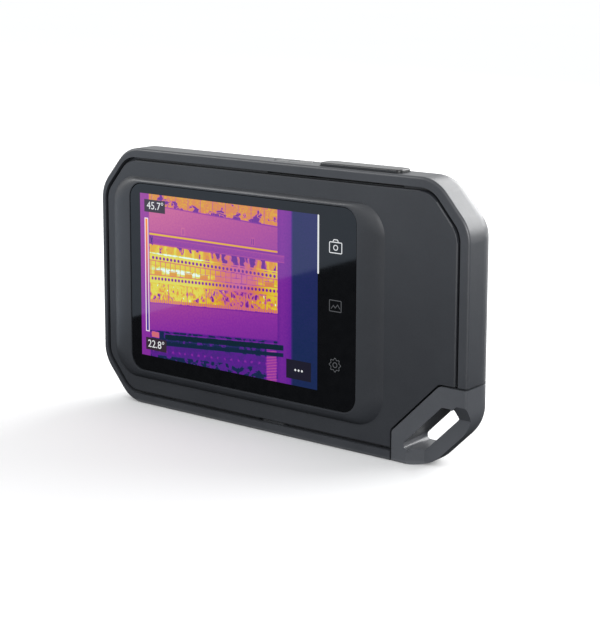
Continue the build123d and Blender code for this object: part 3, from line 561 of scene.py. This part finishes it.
def screen_marks():
    """Temperatures, scroll bar, menu dots and the three icons beside the picture."""
    left, right, bottom, top = screen_area()
    width, height = right - left, top - bottom
    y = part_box("touch_glass")[0][1] - MARK_PROUD
    white = glowing("screen_white", linear(236, 238, 240), 0.9)
    dim = glowing("screen_dim", linear(120, 122, 126), 0.42)

    def at(u, v):
        return left + u * width, top - v * height

    x, z = at(0.041, 0.073)
    screen_text("screen_high_reading", "45.7°", x, z, READING_SIZE, white)
    x, z = at(0.037, 0.925)
    screen_text("screen_low_reading", "22.8°", x, z, READING_SIZE, white)
    dots = [circle_loop(*at(0.884 + 0.0175 * i, 0.908), 0.33 * MM) for i in range(3)]
    flat_piece("screen_menu_dots", dots, y, white)
    x, z = at(1.0, 0.166)
    bar = rounded_loop(x + 0.15 * MM, z, 0.55 * MM, height * 0.332, 0.2 * MM)
    flat_piece("screen_scroll_bar", [bar], y, white)

    icon_x = right + ICON_GAP
    flat_piece("icon_camera", camera_icon(icon_x, at(0, 0.167)[1]), y, white)
    flat_piece("icon_gallery", gallery_icon(icon_x, at(0, 0.50)[1]), y, dim)
    flat_piece("icon_settings", gear_icon(icon_x, at(0, 0.835)[1]), y, dim)


def ring(cx, cz, width, height, radius, stroke):
    inner = max(radius - stroke, 0.05 * MM)
    return [
        rounded_loop(cx, cz, width, height, radius),
        rounded_loop(cx, cz, width - 2 * stroke, height - 2 * stroke, inner),
    ]


def camera_icon(x, z):
    stroke = 0.26 * MM
    body = ring(x, z - 0.3 * MM, 4.6 * MM, 3.4 * MM, 0.4 * MM, stroke)
    eye = [circle_loop(x, z - 0.3 * MM, 0.85 * MM), circle_loop(x, z - 0.3 * MM, 0.60 * MM)]
    hump = [
        (x - 1.1 * MM, z + 1.45 * MM),
        (x - 0.7 * MM, z + 2.15 * MM),
        (x + 0.7 * MM, z + 2.15 * MM),
        (x + 1.1 * MM, z + 1.45 * MM),
        (x + 0.8 * MM, z + 1.45 * MM),
        (x + 0.55 * MM, z + 1.89 * MM),
        (x - 0.55 * MM, z + 1.89 * MM),
        (x - 0.8 * MM, z + 1.45 * MM),
    ]
    return body + eye + [hump]


def gallery_icon(x, z):
    body = ring(x, z, 4.4 * MM, 3.5 * MM, 0.3 * MM, 0.24 * MM)
    ridge = [(-1.6, -0.9), (-0.7, 0.3), (0.0, -0.4), (0.8, 0.6), (1.7, -0.6)]
    underside = [(1.7, -0.9), (0.8, 0.25), (0.0, -0.75), (-0.7, -0.05), (-1.35, -0.9)]
    peak = ridge + underside
    return body + [[(x + a * MM, z + b * MM) for a, b in peak]]


def gear_icon(x, z):
    teeth = 8
    outer = []
    for i in range(teeth * 4):
        radius = (2.15 if i % 4 < 2 else 1.7) * MM
        angle = 2 * math.pi * (i - 0.5) / (teeth * 4)
        outer.append((x + radius * math.cos(angle), z + radius * math.sin(angle)))
    inner = [(x + (a - x) * 0.86, z + (b - z) * 0.86) for a, b in outer]
    return [outer, inner, circle_loop(x, z, 0.85 * MM), circle_loop(x, z, 0.6 * MM)]


# ---- finishes for the CAD nodes ----------------------------------------------------------
def finishes():
    """One finish for each material slot of the record."""
    return {
        "bumper": grained("moulded_bumper", linear(42, 44, 48), linear(52, 54, 58), rough=(0.34, 0.44)),
        "covers": grained(
            "moulded_cover", linear(35, 37, 41), linear(43, 45, 49), grain=3600.0, rough=(0.34, 0.44),
        ),
        "anchor": grained("moulded_anchor", linear(60, 62, 66), linear(70, 72, 76), rough=(0.32, 0.42)),
        "keys": grained("key_plastic", linear(17, 18, 20), linear(24, 25, 27), rough=(0.24, 0.34)),
        "glass_black": screen_material(),
        "clear_window": window_material(),
        "germanium": germanium(),
        "black_metal": grained(
            "black_steel", linear(20, 20, 22), linear(30, 30, 32), rough=(0.3, 0.4), metallic=0.6,
        ),
        "black_alloy": grained(
            "black_anodised", linear(22, 22, 24), linear(34, 34, 36), rough=(0.3, 0.45), metallic=0.6,
        ),
        "board": grained(
            "solder_mask", linear(16, 76, 44), linear(26, 96, 56), grain=2400.0, rough=(0.25, 0.4),
        ),
        "chip": grained("epoxy", linear(20, 20, 21), linear(32, 32, 34)),
        "shield": brushed("tinned_shield", linear(168, 168, 164), linear(206, 206, 200)),
        "steel": brushed("plain_steel", linear(140, 140, 142), linear(184, 184, 186)),
        "brass": brushed("turned_brass", linear(176, 132, 62), linear(216, 172, 92)),
        "magnesium": grained(
            "cast_alloy", linear(150, 152, 156), linear(182, 184, 188), metallic=0.9, rough=(0.4, 0.6),
        ),
        "panel": grained("display_layers", linear(14, 14, 18), linear(22, 22, 28), rough=(0.1, 0.2)),
        "white_plastic": grained("white_plastic", linear(214, 214, 208), linear(232, 232, 228)),
        "battery_wrap": grained("battery_foil", linear(96, 100, 108), linear(128, 132, 140), metallic=0.7),
        "foam": grained(
            "foam", linear(24, 24, 24), linear(44, 44, 44), grain=1500.0, depth=0.1 * MM, rough=(0.8, 0.95),
        ),
        "seal": grained("silicone", linear(26, 27, 28), linear(36, 37, 38), rough=(0.5, 0.65)),
        "amber_film": grained("polyimide", linear(170, 96, 24), linear(200, 124, 40), rough=(0.2, 0.35)),
        "reflector": brushed("reflector", linear(220, 220, 220), linear(244, 244, 244), rough=(0.05, 0.12)),
        "light": grained("frosted_light", linear(50, 54, 58), linear(70, 74, 78), rough=(0.3, 0.4)),
    }


def window_material():
    """A clear, faintly smoked window over a lens or lamp."""
    material, tree, shader = new_material("smoked_window")
    smear = noise(tree, object_point(tree), 300.0)
    tint = ramp(tree, smear, [(0.3, linear(150, 156, 168)), (0.7, linear(176, 182, 192))])
    tree.links.new(tint, shader.inputs["Base Color"])
    shader.inputs["Transmission Weight"].default_value = 0.92
    shader.inputs["IOR"].default_value = 1.46
    gloss = Field(tree, noise(tree, object_point(tree), 700.0)) * 0.03 + 0.02
    tree.links.new(gloss.socket, shader.inputs["Roughness"])
    return material


def germanium():
    material, tree, shader = new_material("coated_germanium")
    drift = noise(tree, object_point(tree), 90.0, 2.0)
    tint = ramp(tree, drift, [(0.3, linear(70, 66, 84)), (0.7, linear(96, 88, 100))])
    tree.links.new(tint, shader.inputs["Base Color"])
    shader.inputs["Metallic"].default_value = 0.85
    gloss = Field(tree, noise(tree, object_point(tree), 900.0)) * 0.05 + 0.08
    tree.links.new(gloss.socket, shader.inputs["Roughness"])
    return material


def dress_cad():
    made = finishes()
    slots = {s["node"]: s["material_slot"] for s in frame["record"]["subparts"]}
    for node, piece in frame["nodes"].items():
        piece.data.materials.clear()
        piece.data.materials.append(made[slots[node]])
        if node in SMOOTHED:
            even_shading(piece)


def even_shading(piece):
    """Joins the mesh where the CAD faces meet and shades it by face size, so flats stay flat."""
    weld = piece.modifiers.new("weld", "WELD")
    weld.merge_threshold = 0.001 * MM
    weighted = piece.modifiers.new("weighted", "WEIGHTED_NORMAL")
    weighted.weight = 50
    weighted.keep_sharp = True


# ---- stage -------------------------------------------------------------------------------
def stage_material(name, colour, rough, glow=0.0):
    material, tree, shader = new_material(name)
    soft = noise(tree, object_point(tree), 3.0, 2.0)
    lighter = tuple(c * 1.01 for c in colour)
    tint = ramp(tree, soft, [(0.2, (*colour, 1)), (0.8, (*lighter, 1))])
    tree.links.new(tint, shader.inputs["Base Color"])
    shader.inputs["Roughness"].default_value = rough
    shader.inputs["Specular IOR Level"].default_value = 0.0
    shader.inputs["Emission Color"].default_value = (1, 1, 1, 1)
    shader.inputs["Emission Strength"].default_value = glow
    return material


def plate(name, size_x, size_y, place, material):
    mesh = bpy.data.meshes.new(name)
    x, y = size_x / 2, size_y / 2
    mesh.from_pydata([(-x, -y, 0), (x, -y, 0), (x, y, 0), (-x, y, 0)], [], [(0, 1, 2, 3)])
    mesh.materials.append(material)
    piece = bpy.data.objects.new(name, mesh)
    piece.location = place
    bpy.context.scene.collection.objects.link(piece)
    return piece


def area_light(name, place, target, size, power):
    data = bpy.data.lights.new(name, "AREA")
    data.shape = "RECTANGLE"
    data.size, data.size_y = size
    data.energy = power
    lamp = bpy.data.objects.new(name, data)
    lamp.location = place
    lamp.rotation_euler = (Vector(target) - Vector(place)).to_track_quat("-Z", "Y").to_euler()
    bpy.context.scene.collection.objects.link(lamp)
    return lamp


def spare_floor(lamp, floor):
    """Keeps a lamp off the floor, so that the shadow under the camera stays soft and whole."""
    spared = bpy.data.collections.new(lamp.name + "_spared")
    spared.objects.link(floor)
    spared.collection_objects[0].light_linking.link_state = "EXCLUDE"
    lamp.light_linking.receiver_collection = spared


def glossy_card(name, size_x, size_y, place, colour):
    """A flat card that only reflections see, to shade what the glass mirrors."""
    card = plate(name, size_x, size_y, place, stage_material(name + "_shade", colour, 0.9))
    for ray in ("camera", "diffuse", "transmission", "volume_scatter", "shadow"):
        setattr(card, "visible_" + ray, False)


def build_stage():
    world = bpy.data.worlds.new("studio")
    world.use_nodes = True
    tree = world.node_tree
    background = tree.nodes["Background"]
    split = tree.nodes.new("ShaderNodeSeparateXYZ")
    tree.links.new(tree.nodes.new("ShaderNodeTexCoord").outputs["Generated"], split.inputs[0])
    height = Field(tree, split.outputs[2]).rise(-0.25, -0.03)
    sky = ramp(tree, height.socket, [(0.0, (0.16, 0.17, 0.18, 1)), (1.0, (0.98, 0.99, 1.0, 1))])
    tree.links.new(sky, background.inputs["Color"])
    background.inputs["Strength"].default_value = WORLD_STRENGTH
    bpy.context.scene.world = world
    floor_z = CAD_BOX[0][2]
    pale = stage_material("pale_floor", (FLOOR_VALUE,) * 3, 0.8, FLOOR_GLOW)
    floor = plate("floor", FLOOR_SIZE, FLOOR_SIZE, (0, 0, floor_z), pale)
    floor.visible_diffuse = False
    glossy_card("floor_card", 0.36, 0.62, (0.043, -0.23, floor_z + 1 * MM), (0.01, 0.01, 0.01))
    glossy_card("left_card", 0.6, 0.7, (-0.437, -0.36, floor_z + 1 * MM), (0.36, 0.42, 0.50))
    glossy_card("right_card", 0.62, 0.56, (0.385, 0.24, floor_z + 0.5 * MM), (0.05, 0.055, 0.06))
    area_light("overhead_panel", (0.30, 0.70, 0.40), CENTRE, (1.2, 0.5), 12.0)
    left_panel = area_light("left_panel", (-0.60, -0.45, 0.45), CENTRE, (0.4, 0.4), 3.4)
    right_panel = area_light("right_panel", (0.30, -0.24, 0.16), (0.05, 0, 0.04), (0.14, 0.14), 1.1)
    spare_floor(left_panel, floor)
    spare_floor(right_panel, floor)
    bpy.context.scene.view_settings.view_transform = "Standard"


def build_camera():
    data = bpy.data.cameras.new("view")
    data.lens = CAMERA_LENS
    data.shift_x, data.shift_y = CAMERA_SHIFT
    data.clip_start = 0.01
    camera = bpy.data.objects.new("view", data)
    a, e = math.radians(VIEW_AZIMUTH), math.radians(VIEW_ELEVATION)
    away = Vector((math.sin(a) * math.cos(e), -math.cos(a) * math.cos(e), math.sin(e)))
    camera.location = CENTRE + away * VIEW_DISTANCE
    camera.rotation_euler = (math.radians(90 - CAMERA_PITCH), 0, math.radians(CAMERA_YAW))
    bpy.context.scene.collection.objects.link(camera)
    bpy.context.scene.camera = camera


dress_cad()
screen_marks()
build_stage()
build_camera()
